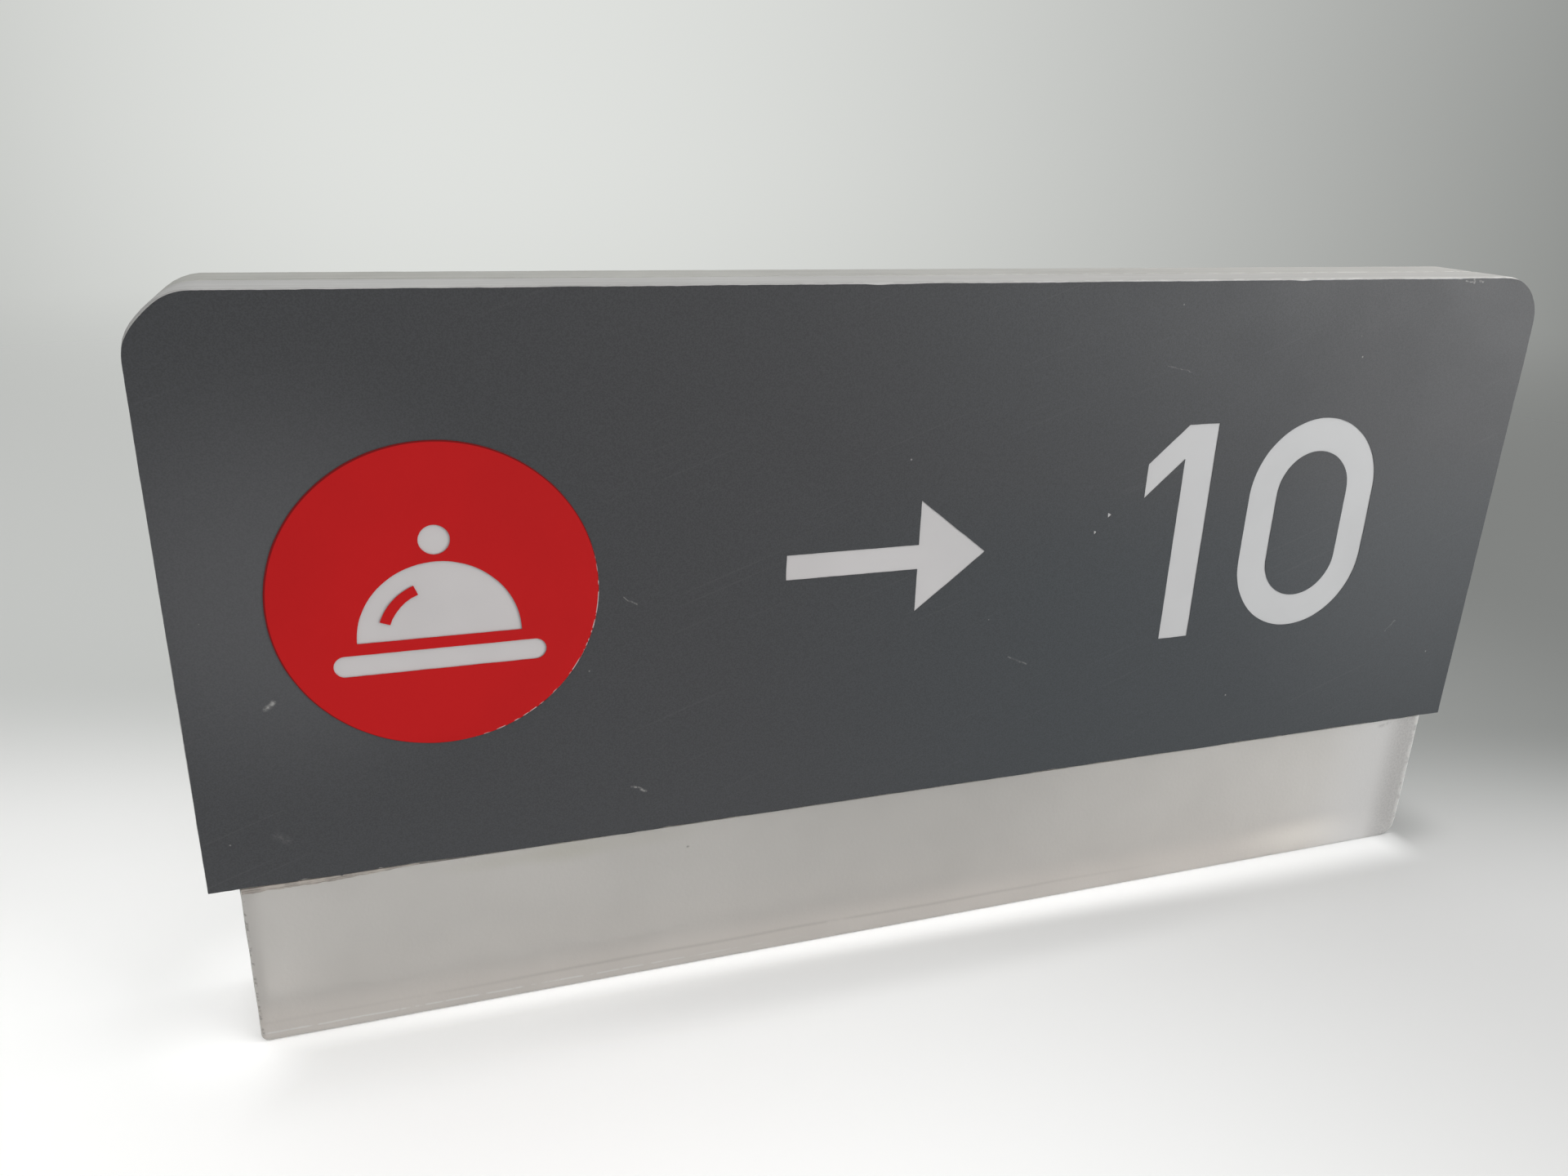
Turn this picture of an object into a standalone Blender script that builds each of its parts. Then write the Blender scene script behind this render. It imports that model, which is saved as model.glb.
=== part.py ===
"""A free-standing table sign: a two-ply acrylic body, faced with cut film, on a narrower acrylic base.

Metres, +Z up. X runs along the width, the face looks along -Y, and the origin lies on the table
under the middle of the sign.
"""
import math

import bmesh
import bpy

# Body: two acrylic sheets of one outline, bonded flat to flat
BODY_WIDTH = 0.2000
BODY_HEIGHT = 0.0754
BODY_CORNER_RADIUS = 0.0073
FRONT_SHEET_THICKNESS = 0.0073
REAR_SHEET_THICKNESS = 0.0073
SHEET_EDGE_BEVEL = 0.0003
SHEET_BOND_THICKNESS = 0.0003
SHEET_BOND_INSET = 0.0005

# Base: one acrylic slab, as deep as the bonded body and narrower by the inset at each end
BASE_HEIGHT = 0.0243
BASE_INSET = 0.0037
BASE_CORNER_RADIUS = 0.0020
BASE_EDGE_BEVEL = 0.0007
BASE_BOND_THICKNESS = 0.0002
BASE_BOND_INSET = 0.0008

# Bead of glue pressed out of the joint, along the left end of the base's front
GLUE_BEAD_LENGTH = 0.0220
GLUE_BEAD_HEIGHT = 0.0009
GLUE_BEAD_END_HEIGHT = 0.0004
GLUE_BEAD_THICKNESS = 0.0003
GLUE_BEAD_START = 0.0003

# Films: a white backing all over, a grey face with windows, and a red badge over the round window
FACE_FILM_THICKNESS = 0.00015
BADGE_FILM_THICKNESS = 0.00015
BACKING_FILM_THICKNESS = 0.00015
FILM_INSET = 0.0002

# Left open between two glued faces
GLUE_GAP = 0.00005

# Counter bell, a window in the badge: knob, dome and foot, with a glint left in the dome
BELL_KNOB_RADIUS = 0.0019
BELL_KNOB_GAP = 0.0009
BELL_DOME_RADIUS = 0.0100
BELL_FOOT_GAP = 0.0015
BELL_FOOT_HEIGHT = 0.0028
BELL_FOOT_WIDTH = 0.0260
GLINT_INSET = 0.0024
GLINT_WIDTH = 0.0013
GLINT_START = math.radians(112)
GLINT_END = math.radians(160)

# Badge: a disc around the bell, lapped over the edge of its window and laid a little left and high
BADGE_RIM = 0.0039
BADGE_LAP = 0.00015
BADGE_SHIFT = 0.00022
BADGE_RISE = 0.00012
BADGE_MARGIN = 0.0110

# Table number, a one and a nought
NUMBER_HEIGHT = 0.0340
NUMBER_STROKE = 0.0052
NUMBER_MARGIN = 0.0255
DIGIT_GAP = 0.0075
NOUGHT_WIDTH = 0.0235
FLAG_REACH = 0.0062
FLAG_DROP = 0.0056

# Arrow, midway between the badge and the number
ARROW_LENGTH = 0.0300
ARROW_SHAFT = 0.0036
ARROW_HEAD_LENGTH = 0.0105
ARROW_HEAD_WIDTH = 0.0165

# Round stretches are drawn with a point about every eight degrees
ARC_STEP = math.radians(8)
WELD_DISTANCE = 1e-6
SHARP_ANGLE = math.radians(30)
BEVEL_SEGMENTS = 2

# Heights
BODY_BOTTOM = BASE_HEIGHT + GLUE_GAP + BASE_BOND_THICKNESS + GLUE_GAP
BODY_MIDDLE = BODY_BOTTOM + BODY_HEIGHT / 2

# Layers from the front to the rear, with a glue gap between each two
LAYERS = (
    ("badge", BADGE_FILM_THICKNESS),
    ("face", FACE_FILM_THICKNESS),
    ("backing", BACKING_FILM_THICKNESS),
    ("front sheet", FRONT_SHEET_THICKNESS),
    ("bond", SHEET_BOND_THICKNESS),
    ("rear sheet", REAR_SHEET_THICKNESS),
)
DEPTH = sum(thickness for name, thickness in LAYERS) + GLUE_GAP * (len(LAYERS) - 1)

# Badge and its bell
BELL_HEIGHT = (2 * BELL_KNOB_RADIUS + BELL_KNOB_GAP + BELL_DOME_RADIUS
               + BELL_FOOT_GAP + BELL_FOOT_HEIGHT)
BADGE_RADIUS = math.hypot(BELL_FOOT_WIDTH, BELL_HEIGHT) / 2 + BADGE_RIM
BADGE_X = BADGE_MARGIN + BADGE_RADIUS - BODY_WIDTH / 2

# Number, set from the right edge
NUMBER_RIGHT = BODY_WIDTH / 2 - NUMBER_MARGIN
NOUGHT_X = NUMBER_RIGHT - NOUGHT_WIDTH / 2
ONE_RIGHT = NUMBER_RIGHT - NOUGHT_WIDTH - DIGIT_GAP
ONE_LEFT = ONE_RIGHT - NUMBER_STROKE - FLAG_REACH
ARROW_X = (BADGE_X + BADGE_RADIUS + ONE_LEFT) / 2


def clear_scene():
    """Remove whatever the file holds."""
    for item in list(bpy.data.objects):
        bpy.data.objects.remove(item, do_unlink=True)


def make_collection(name):
    """A collection for the sign's pieces, linked to the scene."""
    collection = bpy.data.collections.new(name)
    bpy.context.scene.collection.children.link(collection)
    return collection


def make_material(name, colour, roughness):
    """A plain finish for one piece."""
    material = bpy.data.materials.new(name)
    material.use_nodes = True
    shader = material.node_tree.nodes["Principled BSDF"]
    shader.inputs["Base Color"].default_value = (*colour, 1.0)
    shader.inputs["Roughness"].default_value = roughness
    shader.inputs["Metallic"].default_value = 0.0
    material.diffuse_color = (*colour, 1.0)
    return material


def layer_span(wanted):
    """Front and rear Y of one layer of the body."""
    front = -DEPTH / 2
    for name, thickness in LAYERS:
        if name == wanted:
            break
        front += thickness + GLUE_GAP
    return front, front + thickness


def arc(centre, radius, start, end):
    """Points (x, z) along an arc, both ends included."""
    steps = max(2, round(abs(end - start) / ARC_STEP))
    angles = [start + (end - start) * step / steps for step in range(steps + 1)]
    return [(centre[0] + radius * math.cos(a), centre[1] + radius * math.sin(a)) for a in angles]


def circle(centre, radius):
    """A closed round outline."""
    return arc(centre, radius, 0, 2 * math.pi)[:-1]


def stadium(centre, width, height):
    """A closed outline with two straight sides and two round ends."""
    radius = min(width, height) / 2
    across = width / 2 - radius
    up = height / 2 - radius
    x, z = centre
    quarter = math.pi / 2
    if up > across:
        return (arc((x, z + up), radius, 0, 2 * quarter)
                + arc((x, z - up), radius, 2 * quarter, 4 * quarter))
    return (arc((x + across, z), radius, -quarter, quarter)
            + arc((x - across, z), radius, quarter, 3 * quarter))


def body_outline(inset):
    """The body's upright outline: square below, round at the two top corners."""
    half = BODY_WIDTH / 2
    radius = BODY_CORNER_RADIUS - inset
    top = BODY_BOTTOM + BODY_HEIGHT - BODY_CORNER_RADIUS
    centre = half - BODY_CORNER_RADIUS
    quarter = math.pi / 2
    feet = [(inset - half, BODY_BOTTOM + inset), (half - inset, BODY_BOTTOM + inset)]
    return feet + arc((centre, top), radius, 0, quarter) + arc((-centre, top), radius, quarter, 2 * quarter)


def base_outline():
    """The base's upright outline: square at the joint, round at the two bottom corners."""
    half = BODY_WIDTH / 2 - BASE_INSET
    centre = half - BASE_CORNER_RADIUS
    quarter = math.pi / 2
    left = arc((-centre, BASE_CORNER_RADIUS), BASE_CORNER_RADIUS, -2 * quarter, -quarter)
    right = arc((centre, BASE_CORNER_RADIUS), BASE_CORNER_RADIUS, -quarter, 0)
    return left + right + [(half, BASE_HEIGHT), (-half, BASE_HEIGHT)]


def badge_window():
    """The face film's round window, a lap smaller than the badge that covers it."""
    return circle((BADGE_X + BADGE_SHIFT, BODY_MIDDLE - BADGE_RISE), BADGE_RADIUS - BADGE_LAP)


def bell_windows():
    """The bell's knob, dome and foot, and the centre of the dome."""
    foot_z = BODY_MIDDLE - BELL_HEIGHT / 2 + BELL_FOOT_HEIGHT / 2
    dome_centre = (BADGE_X, foot_z + BELL_FOOT_HEIGHT / 2 + BELL_FOOT_GAP)
    knob_z = dome_centre[1] + BELL_DOME_RADIUS + BELL_KNOB_GAP + BELL_KNOB_RADIUS
    knob = circle((BADGE_X, knob_z), BELL_KNOB_RADIUS)
    dome = arc(dome_centre, BELL_DOME_RADIUS, 0, math.pi)
    foot = stadium((BADGE_X, foot_z), BELL_FOOT_WIDTH, BELL_FOOT_HEIGHT)
    return [knob, dome, foot], dome_centre


def glint_outline(dome_centre):
    """The curved strip of badge film left inside the dome."""
    outer = BELL_DOME_RADIUS - GLINT_INSET
    inner = outer - GLINT_WIDTH
    return (arc(dome_centre, outer, GLINT_START, GLINT_END)
            + arc(dome_centre, inner, GLINT_END, GLINT_START))


def one_outline():
    """The digit one: an upright stem with a slanted flag."""
    top = BODY_MIDDLE + NUMBER_HEIGHT / 2
    bottom = BODY_MIDDLE - NUMBER_HEIGHT / 2
    stem_left = ONE_RIGHT - NUMBER_STROKE
    return [
        (stem_left, bottom),
        (ONE_RIGHT, bottom),
        (ONE_RIGHT, top),
        (stem_left, top),
        (ONE_LEFT, top - FLAG_DROP),
        (ONE_LEFT, top - FLAG_DROP - NUMBER_STROKE),
        (stem_left, top - NUMBER_STROKE),
    ]


def nought_outline(inset):
    """The digit nought, drawn in by an inset: none for its window, a stroke for its middle."""
    return stadium((NOUGHT_X, BODY_MIDDLE), NOUGHT_WIDTH - 2 * inset, NUMBER_HEIGHT - 2 * inset)


def arrow_outline():
    """A plain arrow that points to the number."""
    tail = ARROW_X - ARROW_LENGTH / 2
    tip = ARROW_X + ARROW_LENGTH / 2
    neck = tip - ARROW_HEAD_LENGTH
    shaft = ARROW_SHAFT / 2
    head = ARROW_HEAD_WIDTH / 2
    z = BODY_MIDDLE
    return [
        (tail, z - shaft),
        (neck, z - shaft),
        (neck, z - head),
        (tip, z),
        (neck, z + head),
        (neck, z + shaft),
        (tail, z + shaft),
    ]


def flat_piece(name, outlines, span, material, sign):
    """A piece cut from sheet: closed outlines (x, z), holes after the outer one, over a span of Y."""
    front, rear = span
    drawing = bpy.data.curves.new(name, "CURVE")
    drawing.dimensions = "2D"
    drawing.fill_mode = "BOTH"
    drawing.extrude = (rear - front) / 2
    for outline in outlines:
        spline = drawing.splines.new("POLY")
        spline.points.add(len(outline) - 1)
        spline.use_cyclic_u = True
        for point, (x, z) in zip(spline.points, outline):
            point.co = (x, z, 0.0, 1.0)
    drawn = bpy.data.objects.new(name + "_drawing", drawing)
    sign.objects.link(drawn)
    drawn.location = (0.0, (front + rear) / 2, 0.0)
    drawn.rotation_euler = (math.pi / 2, 0.0, 0.0)
    bpy.context.view_layer.update()

    evaluated = drawn.evaluated_get(bpy.context.evaluated_depsgraph_get())
    mesh = bpy.data.meshes.new_from_object(evaluated)
    mesh.name = name
    cut = bmesh.new()
    cut.from_mesh(mesh)
    bmesh.ops.remove_doubles(cut, verts=cut.verts, dist=WELD_DISTANCE)
    bmesh.ops.recalc_face_normals(cut, faces=cut.faces)
    cut.to_mesh(mesh)
    cut.free()
    mesh.shade_smooth()
    mesh.set_sharp_from_angle(angle=SHARP_ANGLE)
    mesh.materials.clear()
    mesh.materials.append(material)

    piece = bpy.data.objects.new(name, mesh)
    sign.objects.link(piece)
    piece.matrix_world = drawn.matrix_world
    bpy.data.objects.remove(drawn, do_unlink=True)
    bpy.data.curves.remove(drawing)
    return piece


def bevel_sharp_edges(piece, width):
    """Break all the sharp edges of a piece."""
    bevel = piece.modifiers.new("broken edges", "BEVEL")
    bevel.width = width
    bevel.segments = 1
    bevel.use_clamp_overlap = False
    bevel.limit_method = "ANGLE"
    bevel.angle_limit = SHARP_ANGLE


def bevel_edges_below(piece, width, height):
    """Round the edges around the outline's lower part, and leave those at the joint square."""
    mesh = piece.data
    weights = mesh.attributes.new("bevel_weight_edge", "FLOAT", "EDGE")
    for edge in mesh.edges:
        ends = [mesh.vertices[index].co for index in edge.vertices]
        around = abs(ends[0].z - ends[1].z) < WELD_DISTANCE
        on_joint = min(end.y for end in ends) > height - WELD_DISTANCE
        on_outline = edge.use_edge_sharp
        weights.data[edge.index].value = float(around and on_outline and not on_joint)
    bevel = piece.modifiers.new("eased edges", "BEVEL")
    bevel.width = width
    bevel.segments = BEVEL_SEGMENTS
    bevel.use_clamp_overlap = False
    bevel.limit_method = "WEIGHT"


def make_films(sign):
    """The white backing, the grey face and the red badge, with the bits left inside closed windows."""
    white = make_material("white backing film", (0.78, 0.79, 0.80), 0.45)
    grey = make_material("grey face film", (0.062, 0.064, 0.068), 0.42)
    red = make_material("red badge film", (0.43, 0.012, 0.012), 0.40)
    sheet = body_outline(FILM_INSET)
    windows, dome_centre = bell_windows()
    face_windows = [badge_window(), arrow_outline(), one_outline(), nought_outline(0)]
    badge = circle((BADGE_X, BODY_MIDDLE), BADGE_RADIUS)
    return [
        flat_piece("backing_film", [sheet], layer_span("backing"), white, sign),
        flat_piece("face_film", [sheet] + face_windows, layer_span("face"), grey, sign),
        flat_piece("nought_middle", [nought_outline(NUMBER_STROKE)], layer_span("face"), grey, sign),
        flat_piece("badge_film", [badge] + windows, layer_span("badge"), red, sign),
        flat_piece("bell_glint", [glint_outline(dome_centre)], layer_span("badge"), red, sign),
    ]


def make_body(sign):
    """The two acrylic sheets and the clear bond between them."""
    frosted = make_material("frosted acrylic", (0.62, 0.61, 0.59), 0.50)
    clear = make_material("clear sheet bond", (0.80, 0.80, 0.79), 0.20)
    front = flat_piece("front_sheet", [body_outline(0)], layer_span("front sheet"), frosted, sign)
    rear = flat_piece("rear_sheet", [body_outline(0)], layer_span("rear sheet"), frosted, sign)
    bond = flat_piece("sheet_bond", [body_outline(SHEET_BOND_INSET)], layer_span("bond"), clear, sign)
    for sheet in (front, rear):
        bevel_sharp_edges(sheet, SHEET_EDGE_BEVEL)
    return [front, rear, bond]


def make_base(sign):
    """The slab under the body, its bond, and the bead of glue pressed out in front."""
    satin = make_material("satin acrylic base", (0.60, 0.58, 0.55), 0.40)
    cement = make_material("clear base cement", (0.70, 0.68, 0.63), 0.25)
    brown = make_material("dried glue", (0.36, 0.29, 0.23), 0.35)
    front = layer_span("front sheet")[0]
    rear = layer_span("rear sheet")[1]
    slab = flat_piece("base_slab", [base_outline()], (front, rear), satin, sign)
    bevel_edges_below(slab, BASE_EDGE_BEVEL, BASE_HEIGHT)

    end = BODY_WIDTH / 2 - BASE_INSET
    reach = end - BASE_BOND_INSET
    low = BASE_HEIGHT + GLUE_GAP
    high = low + BASE_BOND_THICKNESS
    joint = [(-reach, low), (reach, low), (reach, high), (-reach, high)]
    span = (front + BASE_BOND_INSET, rear - BASE_BOND_INSET)
    bond = flat_piece("base_bond", [joint], span, cement, sign)

    bead_left = GLUE_BEAD_START - end
    bead_right = bead_left + GLUE_BEAD_LENGTH
    wedge = [
        (bead_left, BODY_BOTTOM),
        (bead_left, BODY_BOTTOM - GLUE_BEAD_HEIGHT),
        (bead_right, BODY_BOTTOM - GLUE_BEAD_END_HEIGHT),
        (bead_right, BODY_BOTTOM),
    ]
    bead_rear = front - GLUE_GAP
    bead = flat_piece("glue_bead", [wedge], (bead_rear - GLUE_BEAD_THICKNESS, bead_rear), brown, sign)
    return [slab, bond, bead]


def main():
    """Build the sign and hang its pieces on one empty at the origin."""
    clear_scene()
    sign = make_collection("table_sign")
    pieces = make_films(sign) + make_body(sign) + make_base(sign)
    origin = bpy.data.objects.new("table_sign_origin", None)
    sign.objects.link(origin)
    for piece in pieces:
        piece.parent = origin


main()
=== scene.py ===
"""Looks of a free-standing table sign: cut film, satin acrylic, dried glue and a plain studio.

The file is laid out as an add-on and run as a script. Everything is in metres, in the frame's own
axes: X along the width, the face looks along -Y, Z up.
"""
import math

import bmesh
import bpy
from bpy.props import FloatProperty, FloatVectorProperty, PointerProperty
from mathutils import Color, Matrix, Vector, noise


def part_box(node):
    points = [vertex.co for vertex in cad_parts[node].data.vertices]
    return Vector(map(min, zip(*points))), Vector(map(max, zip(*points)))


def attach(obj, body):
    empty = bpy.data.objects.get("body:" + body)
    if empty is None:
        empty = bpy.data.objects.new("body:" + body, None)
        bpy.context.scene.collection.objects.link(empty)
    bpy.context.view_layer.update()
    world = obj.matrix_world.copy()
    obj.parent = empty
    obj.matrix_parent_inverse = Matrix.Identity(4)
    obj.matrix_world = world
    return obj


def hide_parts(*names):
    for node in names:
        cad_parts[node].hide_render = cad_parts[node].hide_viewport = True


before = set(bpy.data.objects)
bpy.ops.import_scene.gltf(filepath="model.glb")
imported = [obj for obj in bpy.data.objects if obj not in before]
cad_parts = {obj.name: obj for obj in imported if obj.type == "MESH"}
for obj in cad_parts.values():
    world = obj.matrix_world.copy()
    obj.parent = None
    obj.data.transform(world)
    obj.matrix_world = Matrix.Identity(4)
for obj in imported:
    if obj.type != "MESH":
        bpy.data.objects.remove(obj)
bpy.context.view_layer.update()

bl_info = {
    "name": "Table Sign Looks",
    "version": (1, 0, 0),
    "blender": (4, 5, 0),
    "location": "View3D > Sidebar > Table Sign",
    "description": "Dresses the packed table sign with film, acrylic, glue and a plain studio",
    "category": "Object",
}

BODY = "root"
ORIGIN = (0.0, 0.0, 0.0)
ACROSS = (1.0, 0.0, 0.0)
INWARD = (0.0, 1.0, 0.0)
UP = (0.0, 0.0, 1.0)
FACE_PLANE = (1.0, 0.0, 1.0)

# Drawing: weld distance, corner angles, and how far apart the points of an edge are
WELD = 1e-6
FRONT_FACING = 0.99
CORNER_TURN = math.radians(25)
SHARP_ANGLE = math.radians(40)
CUT_SPACING = 0.0006
TRIM_SPACING = 0.00025
EDGE_SPACING = 0.0008
EASE_STEPS = 3

# Over how long a stretch a cut or a sawn edge strays
LONG_GRAIN = 0.012
BACKING_GRAIN = 0.010
LOWER_GRAIN = 0.009
SAW_GRAIN = 0.004
CUT_GRAIN = 0.003
SHORT_GRAIN = 0.0016

# How fast a saw's stray changes through a plate, and the smoothness, spacing and count of stray waves
SAW_CHANGE = 300
STRAY_WAVES = (0.7, 2.0, 3)

# Films: what is left between two, how high up the lower edge counts, and where its overhang sets in
FILM_GAP = 0.00001
LOWER_EDGE = 0.001
BEAD_END = -0.072
BEAD_FADE = 0.018

# Bead of glue: points along and around it, its lumps, and its share of the height and depth of its box
BEAD_STATIONS = 90
BEAD_AROUND = 7
BEAD_GRAIN = 0.0018
BEAD_SEED = 31.0
BEAD_WAVES = (0.8, 2.0, 3)
BEAD_FULL = 0.92
BEAD_SLOPE = 0.12
BEAD_TAIL = 0.55
BEAD_TAPER = 0.60
BEAD_LEAST = 0.10
BEAD_DEPTH = 0.7
BEAD_DEEPEST = 0.8

# Acrylic, floor, camera and lamps
ACRYLIC_IOR = 1.49
FLOOR_RADIUS = 6.0
FLOOR_SIDES = 64
SENSOR_WIDTH = 36.0
NEAREST_SEEN = 0.005
LIGHT_AIM = Vector((0.0, 0.0, 0.04))
KEY_PLACE = Vector((0.40, -0.16, 0.62))
KEY_SIZE = (0.8, 0.8)
SIDE_PLACE = Vector((0.47, -0.36, 0.11))
SIDE_SIZE = (0.42, 0.20)

# Where an edge was trimmed or ground by hand: place (x, z), reach and depth, outward if negative
FILM_TRIMS = (
    ((-0.0978, 0.0978), 0.0062, 0.00062),
    ((0.0832, 0.0998), 0.00060, 0.00008),
    ((0.0926, 0.0996), 0.00030, 0.00015),
    ((0.0541, 0.0998), 0.00180, 0.00009),
    ((-0.0120, 0.0998), 0.00260, 0.00008),
    ((-0.0884, 0.0248), 0.00110, 0.00020),
    ((-0.0838, 0.0248), 0.00035, -0.00020),
    ((-0.0790, 0.0248), 0.00045, 0.00016),
    ((-0.0402, 0.0248), 0.00160, 0.00012),
    ((0.0218, 0.0248), 0.00210, 0.00011),
    ((0.0655, 0.0248), 0.00120, 0.00013),
)
SHEET_TRIMS = (
    ((-0.0978, 0.0978), 0.0065, 0.00050),
    ((-0.1000, 0.0905), 0.0060, 0.00025),
)
SLAB_TRIMS = (
    ((-0.0957, 0.0006), 0.0016, -0.00040),
    ((0.0957, 0.0006), 0.0035, 0.00035),
)

# Nicks where a knife slipped beside the number: corners (x, z)
KNIFE_NICKS = (
    ((0.0262, 0.0667), (0.0269, 0.0664), (0.0263, 0.0659)),
    ((0.0242, 0.0641), (0.0247, 0.0639), (0.0243, 0.0634)),
)

# Marks rubbed into the film: start (x, z), end (x, z), width and strength
FILM_MARKS = (
    ((-0.0902, 0.0496), (-0.0893, 0.0505), 0.00040, 0.55),
    ((-0.0451, 0.0320), (-0.0432, 0.0309), 0.00022, 0.45),
    ((-0.0458, 0.0602), (-0.0440, 0.0590), 0.00013, 0.30),
    ((-0.0909, 0.0318), (-0.0897, 0.0309), 0.00080, 0.07),
    ((0.0120, 0.0452), (0.0152, 0.0437), 0.00016, 0.22),
    ((0.0330, 0.0880), (0.0372, 0.0871), 0.00010, 0.20),
    ((0.0835, 0.0420), (0.0852, 0.0437), 0.00014, 0.22),
    ((0.0858, 0.0998), (0.0859, 0.0993), 0.00030, 1.00),
    ((0.0870, 0.0995), (0.0876, 0.0993), 0.00022, 1.00),
    ((0.0842, 0.0994), (0.0856, 0.0993), 0.00012, 0.60),
)

# Marks on the slab's front, given as those on the film
SLAB_MARKS = (
    ((-0.0371, 0.0207), (-0.0370, 0.0206), 0.00026, 1.00),
    ((0.0876, 0.0233), (0.0896, 0.0237), 0.00050, 0.35),
)

# Glue rubbed thin on the slab under the joint: middle (x, z), half width and half height, and strength
SLAB_SMEARS = (
    ((-0.0545, 0.0231), (0.0068, 0.0021), 0.60),
    ((-0.0640, 0.0229), (0.0080, 0.0014), 0.35),
    ((-0.0440, 0.0231), (0.0090, 0.0016), 0.25),
)


def metres(name, description, default):
    """A length setting, shown in the scene's unit."""
    return FloatProperty(
        name=name, description=description, default=default, precision=5, unit="LENGTH")


def share(name, description, default):
    """A setting from none to all."""
    return FloatProperty(
        name=name, description=description, default=default, min=0.0, max=1.0, subtype="FACTOR")


def angle(name, description, degrees):
    """An angle setting, given in degrees."""
    return FloatProperty(
        name=name, description=description, default=math.radians(degrees), subtype="ANGLE")


def watts(name, description, default):
    """A setting for the power of a lamp."""
    return FloatProperty(name=name, description=description, default=default, min=0.0, unit="POWER")


def colour(name, description, default):
    """A colour setting."""
    return FloatVectorProperty(
        name=name, description=description, default=default, size=3, min=0.0, max=1.0, subtype="COLOR")


class FilmSettings(bpy.types.PropertyGroup):
    """Colours and cut of the three films."""
    grey: colour("Grey", "Face film", (0.0428, 0.0433, 0.0465))
    grey_cool: colour("Cool grey", "Face film where its shade drifts", (0.0385, 0.0438, 0.0488))
    red: colour("Red", "Badge film over white", (0.462, 0.0062, 0.0074))
    red_lap: colour("Red lap", "Badge film where it laps over grey", (0.17, 0.003, 0.004))
    white: colour("White", "Backing film at its left", (0.540, 0.517, 0.517))
    # Painted shade: the backing film is darker at its right, where the lamps light it more
    white_right_shaded: colour("Right white", "Backing film at its right", (0.472, 0.474, 0.479))
    dust: colour("Dust", "Specks and rubbed marks", (0.50, 0.49, 0.47))
    dark_dust: colour("Dark dust", "Specks on the backing film", (0.25, 0.24, 0.23))
    # Painted sheen: the face film is mixed towards a pale tone near each end, standing in for reflected
    # light
    sheen_tone: colour("Bloom", "What the face film fades towards", (0.485, 0.485, 0.505))
    fade: share("Left fade", "How far the face film has faded near its left end", 0.066)
    right_sheen: share("Right fade", "How far the face film has faded near its right end", 0.042)
    roughness: share("Roughness", "Satin of the films", 0.47)
    thickness: metres("Thickness", "Film as it comes off the roll", 0.00008)
    wander: metres("Cut wander", "How far a hand cut strays from its line", 0.00006)
    trim_wander: metres("Trim wander", "How far the trimmed lower edge strays", 0.00013)
    overhang: metres("Overhang", "How far the lower edge reaches over the joint", 0.0002)


class AcrylicSettings(bpy.types.PropertyGroup):
    """Sheets of the body and slab of the base."""
    # Painted light: each sheet is tinted lighter at its right, where light falls, and darker at its left
    front_left_shaded: colour("Front left", "Tint of the front sheet at its left", (0.455, 0.450, 0.440))
    front_right_lit: colour("Front right", "Tint of the front sheet at its right", (0.570, 0.558, 0.535))
    rear_left_shaded: colour("Rear left", "Tint of the rear sheet at its left", (0.365, 0.363, 0.333))
    rear_right_lit: colour("Rear right", "Tint of the rear sheet at its right", (0.560, 0.548, 0.520))
    # Painted light: lighter tints for the sheets' faces and ends, which the lamps leave in shade
    sheet_face_lit: colour("Sheet face", "Tint of the sheets' faces", (0.66, 0.655, 0.64))
    sheet_end_lit: colour("Sheet end", "Tint of the sheets' ends", (0.50, 0.495, 0.482))
    slab: colour("Slab", "Tint of the base slab", (0.625, 0.605, 0.58))
    # Painted glow: the slab is warmer near its foot and painted lighter there, as light coming through it
    slab_low_glow: colour("Slab foot", "Tint of the slab near its foot", (0.80, 0.75, 0.705))
    slab_glow: colour("Slab glow", "Tint where light gathers low at the right", (1.0, 0.955, 0.89))
    # Painted light: a paler band beside the slab's right end face, where light comes through the end
    slab_pale_light: colour("Slab pale", "Tint beside the slab's right end face", (0.91, 0.90, 0.895))
    slab_end: colour("Slab end", "Tint in front of the slab's right end face", (0.64, 0.63, 0.62))
    # Painted highlights along edges, and pale flecks of dust on the slab
    highlight_and_fleck: colour("Scuff", "Pale broken edges", (0.97, 0.96, 0.94))
    smear: colour("Smear", "Glue rubbed thin under the joint", (0.53, 0.515, 0.445))
    grime: colour("Grime", "Dirt in edges and small marks", (0.17, 0.155, 0.14))
    slab_roughness: share("Slab satin", "Roughness of the base slab", 0.40)
    slab_clear: share("Slab clearness", "How much of the slab is clear", 0.60)
    sheet_roughness: share("Sheet frost", "Roughness of the two sheets", 0.50)
    sheet_clear: share("Sheet clearness", "How much of the sheets is clear", 0.25)
    sheet_ease: metres("Sheet edge", "Radius of the sheets' broken edges", 0.0003)
    slab_ease: metres("Slab edge", "Radius of the slab's eased edges", 0.0004)
    slab_foot: FloatProperty(
        name="Slab foot ease", description="How much taller the slab's eased edge is along its foot",
        default=2.2, min=1.0)
    slab_head: share("Slab head ease", "How tall the slab's eased edge is under the joint", 0.2)
    ripple: metres("Saw ripple", "How far a sawn edge strays from straight", 0.00004)


class GlueSettings(bpy.types.PropertyGroup):
    """Bonds and the bead that was pressed out."""
    bead: colour("Bead", "Dried glue", (0.36, 0.325, 0.292))
    crack: colour("Crack", "Dark streaks in the dried glue", (0.10, 0.085, 0.075))
    bond: colour("Bond", "Clear bond between the sheets", (0.80, 0.79, 0.77))
    lumps: share("Lumps", "How uneven the bead is", 0.22)


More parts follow.
